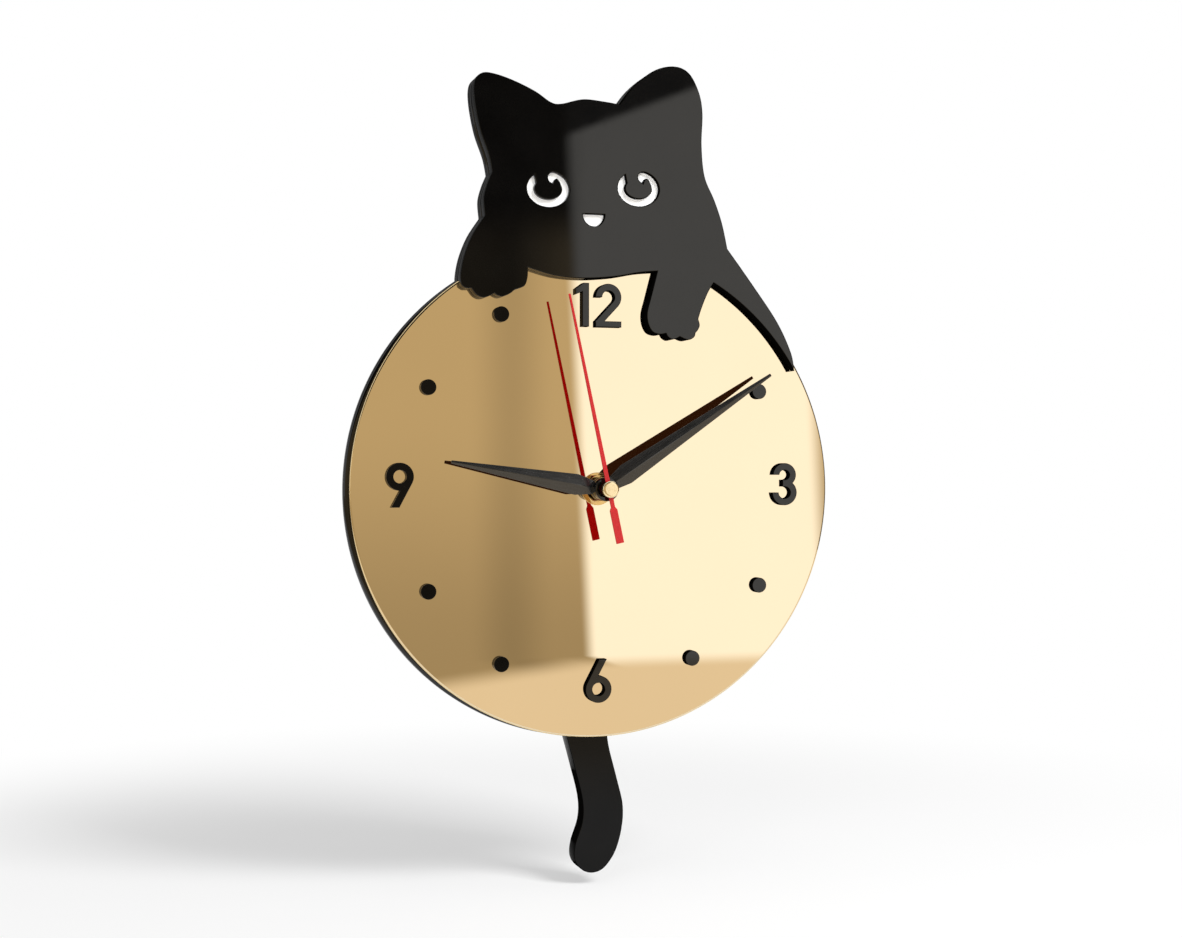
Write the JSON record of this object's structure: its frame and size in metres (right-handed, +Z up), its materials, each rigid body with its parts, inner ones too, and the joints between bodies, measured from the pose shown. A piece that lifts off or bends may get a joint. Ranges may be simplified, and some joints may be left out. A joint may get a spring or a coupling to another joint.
{
  "type": "pendulum wall clock",
  "caption": "Wall clock with a round mirror dial, a flat cat leaning over its top edge, tapered hands and a tail that swings below as the pendulum of a quartz movement.",
  "frame": {"origin": "where the axis of the hands meets the wall plane, at the back face of the movement's rear cover", "axes": "+X to the right as seen from the front, +Y into the wall along the hands' axis, +Z up"},
  "size_m": [0.2018, 0.0465, 0.3284],
  "materials": {
    "black_acrylic": "polished cast acrylic",
    "gold_mirror_acrylic": "gold mirror acrylic",
    "white_acrylic": "plain white acrylic",
    "black_hands": "satin black paint",
    "red_hand": "gloss red paint",
    "brass": "polished brass",
    "rubber": "matt",
    "case_plastic": "fine moulded texture",
    "gear_plastic": "moulded acetal",
    "steel": "zinc plated",
    "magnet": "nickel plated",
    "copper": "enamelled wire",
    "board": "solder mask",
    "cell": "plain wrapped steel can"
  },
  "bodies": {
    "clock_body": {"back_plate": "black_acrylic", "dial_plate": "gold_mirror_acrylic", "head_spacer": "black_acrylic", "face_backing": "white_acrylic", "cat_plate": "black_acrylic", "numeral_12_one": "black_acrylic", "numeral_12_two": "black_acrylic", "numeral_3": "black_acrylic", "numeral_6": "black_acrylic", "numeral_9": "black_acrylic", "hour_dot_02": "black_acrylic", "hour_dot_04": "black_acrylic", "hour_dot_05": "black_acrylic", "hour_dot_07": "black_acrylic", "hour_dot_08": "black_acrylic", "hour_dot_10": "black_acrylic", "hour_dot_11": "black_acrylic", "threaded_bush": "brass", "fixing_washer": "brass", "fixing_nut": "brass", "movement_gasket": "rubber", "movement_case": "case_plastic", "rear_cover": "case_plastic", "bearing_plate": "gear_plastic", "cover_screw_1": "steel", "cover_screw_2": "steel", "cover_screw_3": "steel", "cover_screw_4": "steel", "stator": "steel", "motor_coil": "copper", "circuit_board": "board", "quartz_crystal": "steel", "battery": "cell", "battery_contact_positive": "steel", "battery_contact_negative": "steel", "pendulum_coil": "copper", "pendulum_pin": "steel", "hanger_plate": "steel", "hanger_screw_1": "steel", "hanger_screw_2": "steel"},
    "seconds_train": {"second_hand": "red_hand", "second_hand_cap": "brass", "seconds_wheel": "gear_plastic"},
    "third_wheel": {"third_wheel": "gear_plastic"},
    "fifth_wheel": {"fifth_wheel": "gear_plastic"},
    "rotor": {"rotor": "gear_plastic"},
    "centre_wheel": {"centre_wheel": "gear_plastic"},
    "minute_train": {"minute_hand": "black_hands", "minute_arbor": "brass"},
    "hour_train": {"hour_hand": "black_hands", "hour_wheel": "gear_plastic"},
    "motion_wheel": {"motion_wheel": "gear_plastic", "setting_knob": "case_plastic"},
    "pendulum": {"pendulum_lever": "gear_plastic", "pendulum_magnet": "magnet", "tail": "black_acrylic", "tail_screw": "steel", "tail_nut": "steel"}
  },
  "joints": [
    {"name": "second_spin", "type": "hinge", "parent": "clock_body", "child": "seconds_train", "pos_m": [0, 0, 0], "axis": [0, 1, 0], "continuous": true},
    {"name": "third_spin", "type": "hinge", "parent": "clock_body", "child": "third_wheel", "pos_m": [0.00865, 0, 0.00865], "axis": [0, 1, 0], "continuous": true},
    {"name": "fifth_spin", "type": "hinge", "parent": "clock_body", "child": "fifth_wheel", "pos_m": [0.00613, 0, -0.01063], "axis": [0, 1, 0], "continuous": true},
    {"name": "rotor_spin", "type": "hinge", "parent": "clock_body", "child": "rotor", "pos_m": [0.01523, 0, -0.01588], "axis": [0, 1, 0], "continuous": true},
    {"name": "centre_spin", "type": "hinge", "parent": "clock_body", "child": "centre_wheel", "pos_m": [0, 0, 0], "axis": [0, 1, 0], "continuous": true},
    {"name": "minute_spin", "type": "hinge", "parent": "clock_body", "child": "minute_train", "pos_m": [0, 0, 0], "axis": [0, 1, 0], "continuous": true},
    {"name": "hour_spin", "type": "hinge", "parent": "clock_body", "child": "hour_train", "pos_m": [0, 0, 0], "axis": [0, 1, 0], "continuous": true},
    {"name": "motion_spin", "type": "hinge", "parent": "clock_body", "child": "motion_wheel", "pos_m": [-0.012, 0, -0.00437], "axis": [0, 1, 0], "continuous": true},
    {"name": "pendulum_swing", "type": "hinge", "parent": "clock_body", "child": "pendulum", "pos_m": [0, -0.007, -0.05], "axis": [0, 1, 0], "range_deg": [-9, 9]}
  ],
  "couplings": [
    {"joint": "third_spin", "follows": "second_spin", "ratio": -0.125},
    {"joint": "centre_spin", "follows": "second_spin", "ratio": 0.016667},
    {"joint": "fifth_spin", "follows": "second_spin", "ratio": -5},
    {"joint": "rotor_spin", "follows": "second_spin", "ratio": 30},
    {"joint": "motion_spin", "follows": "minute_spin", "ratio": -0.33333},
    {"joint": "hour_spin", "follows": "minute_spin", "ratio": 0.083333}
  ]
}
